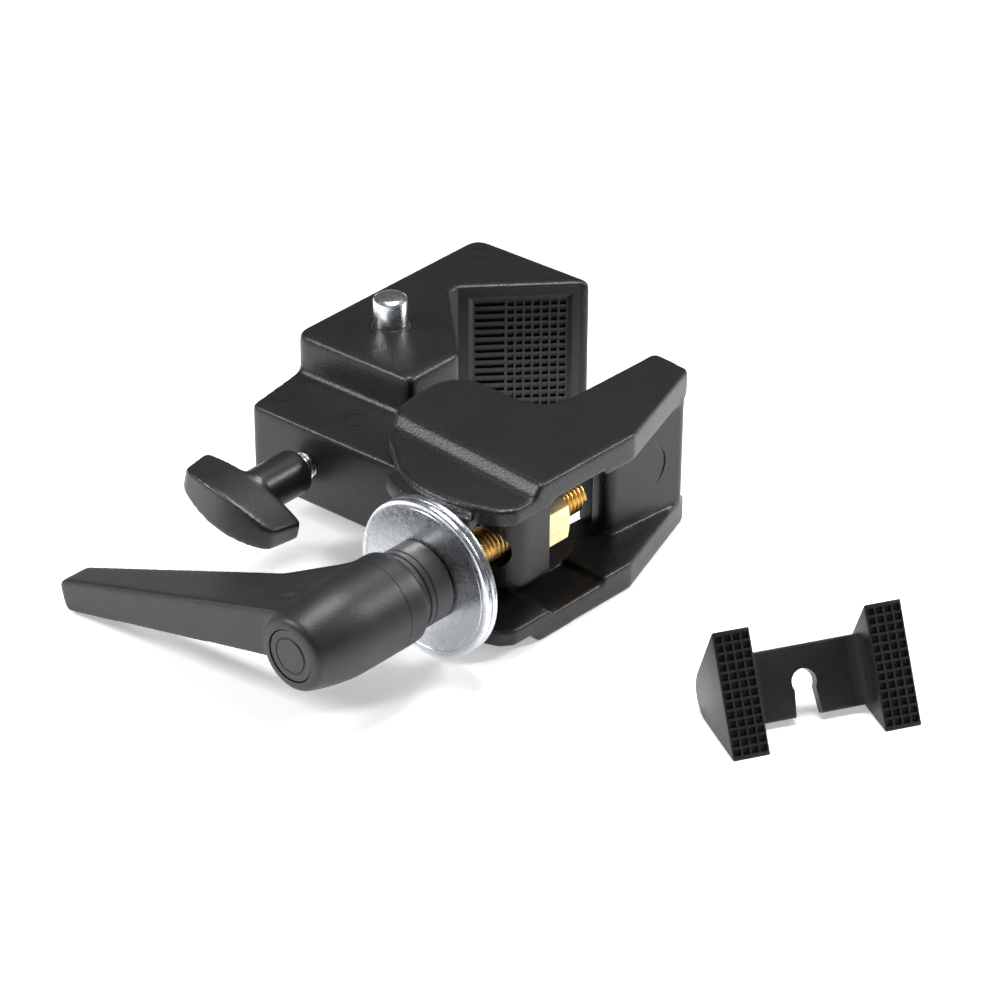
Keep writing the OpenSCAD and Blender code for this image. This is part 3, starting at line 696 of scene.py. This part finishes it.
pin_low, pin_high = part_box("safety_pin")
pin_place = Matrix.Translation(((pin_low.x + pin_high.x) / 2, (pin_low.y + pin_high.y) / 2, table_z)) @ Matrix.Scale(MM, 4)
pin = turned([(0, 25), (4.15, 25), (4.15, 14.2), (5.55, 14.2), (5.55, 28), (4.0, 28.2), (4.0, 37.4), (5.55, 37.6),
              (5.55, 44.3), (4.85, 44.4), (4.85, 55.9), (4.7, 56.3), (3.9, 56.9), (3.5, 57), (0, 57)], 96)
make("push_pin", pin, pin_place, "pin", "zinc", zinc, "safety_pin")
pin_coil = make("pin_coil", spring(3.3, 0.45, 3.6, 21.2, 8), pin_place, "pin", "spring_steel", spring_steel,
                "safety_pin_spring")
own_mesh(pin_coil)
bush_black = moulded("bush_black", 0.01, 0.45, 0.5)
for node in ("safety_pin_bush", "safety_pin_plug"):
    frame["nodes"][node].data.materials.clear()
    frame["nodes"][node].data.materials.append(bush_black.material)


# ---- Stud knob ----
# A wing knob of semi-gloss plastic moulded onto an M8 screw that locks the stud in its socket. The
# wing is a lens from the front and crowned from above.

knob_low, knob_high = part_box("stud_knob_screw")
knob_mid = (knob_low + knob_high) / 2
at_knob = (Matrix.Translation((knob_mid.x, casting_low.y, knob_mid.z)) @ spin_by(90, "X") @ Matrix.Scale(MM, 4))
wing_tilt, wing_half = 14, 18
wing_plan = [(-wing_half, 21.6), (-wing_half + 1, 20.6), (wing_half - 1, 20.6), (wing_half, 21.6)]
wing_plan += arc((wing_half - 3.2, 29.4), 1.9, 0, 50, 3) + arc((0, -22.2), 56, 75, 105, 12)
wing_plan += arc((-wing_half + 3.2, 29.4), 1.9, 130, 180, 3)
wing = moved(prism(wing_plan, -10, 10), spin_by(90, "X"))
lens = [(side * x, side * (5.9 - 3.2 * (x / wing_half) ** 2)) for side in (1, -1) for x in range(-20, 21, 2)]
wing = worked(wing, [prism(lens, 15, 40)], "INTERSECT")
knob = together(wing, rod(6.5, (0, 0, 3.6), (0, 0, 20.9)))
knob = moved(softened(knob, 0.4, 16), spin_by(-wing_tilt))
knob = worked(knob, [rod(4.0, (0, 0, 2), (0, 0, 16))])
knob_black = moulded("knob_black", 0.009, 0.3, 0.7)
make("wing_knob", knob, at_knob, "knob", "knob_black", knob_black, "stud_knob")
screw_low, screw_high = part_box("stud_knob_screw")
stud_back = (casting_low.y - screw_high.y) / MM
stud_front = (casting_low.y - screw_low.y) / MM
make("knob_thread", threaded(3.95, 1.25, -stud_front, -stud_back), at_knob @ Matrix.Scale(-1, 4, (0, 0, 1)),
     "knob_slider", "zinc", zinc, "stud_knob_screw")


# ---- Wedge insert ----
# A loose black plastic wedge that fits the V for thin tubes: two gridded prisms joined by a plate
# with a keyhole, set down on the table beside the clamp.

wedge_place = on_bench @ Matrix.Translation((91.1, 11.2, 0)) @ spin_by(59.1)
wedge_length, wedge_face, prism_wide = 52, 33, 10.2
lean, ridge_r = 58, 7.4
ridge_at = (wedge_face / 2, wedge_face / 2 * tan(radians(lean)) - ridge_r / cos(radians(lean)))
section = [(0, 0), (wedge_face, 0)] + arc(ridge_at, ridge_r, 90 - lean, 90 + lean, 8)
# drawn with x along the insert, y up the gripping face and -z into the wedge
stand_up = Matrix(((0, 0, 1, 0), (1, 0, 0, 0), (0, -1, 0, 0), (0, 0, 0, 1)))
prisms = []
for start in (0, wedge_length - prism_wide):
    side = ease(prism(section, start, start + prism_wide), 0.4, lambda e, m: True, 2)
    prisms.append(moved(side, stand_up))
plate = block((prism_wide - 1, 7.3, -11.2), (wedge_length - prism_wide + 1, 25.7, -8))
plate = ease(plate, 0.6, lambda e, m: abs(e.verts[0].co.x - e.verts[1].co.x) > 5, 2)
# a generous fillet leads from the plate into each prism
lay_down = Matrix(((1, 0, 0, 0), (0, 0, 1, 0), (0, -1, 0, 0), (0, 0, 0, 1)))
blend_r = 3.6
inner = wedge_length - prism_wide
round_in = [(inner + 0.5, 8.5), (inner - blend_r, 8.5)] + arc((inner - blend_r, 8 - blend_r), blend_r, 90, 0)
round_in += [(inner + 0.5, 8 - blend_r)]
across_in = [(wedge_length - x, y) for x, y in reversed(round_in)]
fillets = [moved(prism(points, 7.6, 25.4), lay_down) for points in (round_in, across_in)]
wedge = worked(prisms[0], [plate, prisms[1], *fillets], "UNION")
middle = wedge_length / 2 - 0.6
keyhole = [(middle - 4.6, -1), (middle + 4.6, -1), (middle + 2.9, wedge_face / 2 - 2), (middle - 2.9, wedge_face / 2 - 2)]
wedge = worked(wedge, [rod(3.4, (middle, 16.1, -16), (middle, 16.1, -4)), prism(keyhole, -16, -4)]
               + [moved(grid_of(4, 13, 2.4, (1.6, 1.6), 0.9), (x, wedge_face / 2, 0))
                  for x in (prism_wide / 2, wedge_length - prism_wide / 2)])
make("wedge", wedge, wedge_place @ spin_by(58, "X"), "wedge", "pad_black", pad_black, "wedge_insert", crease=30)
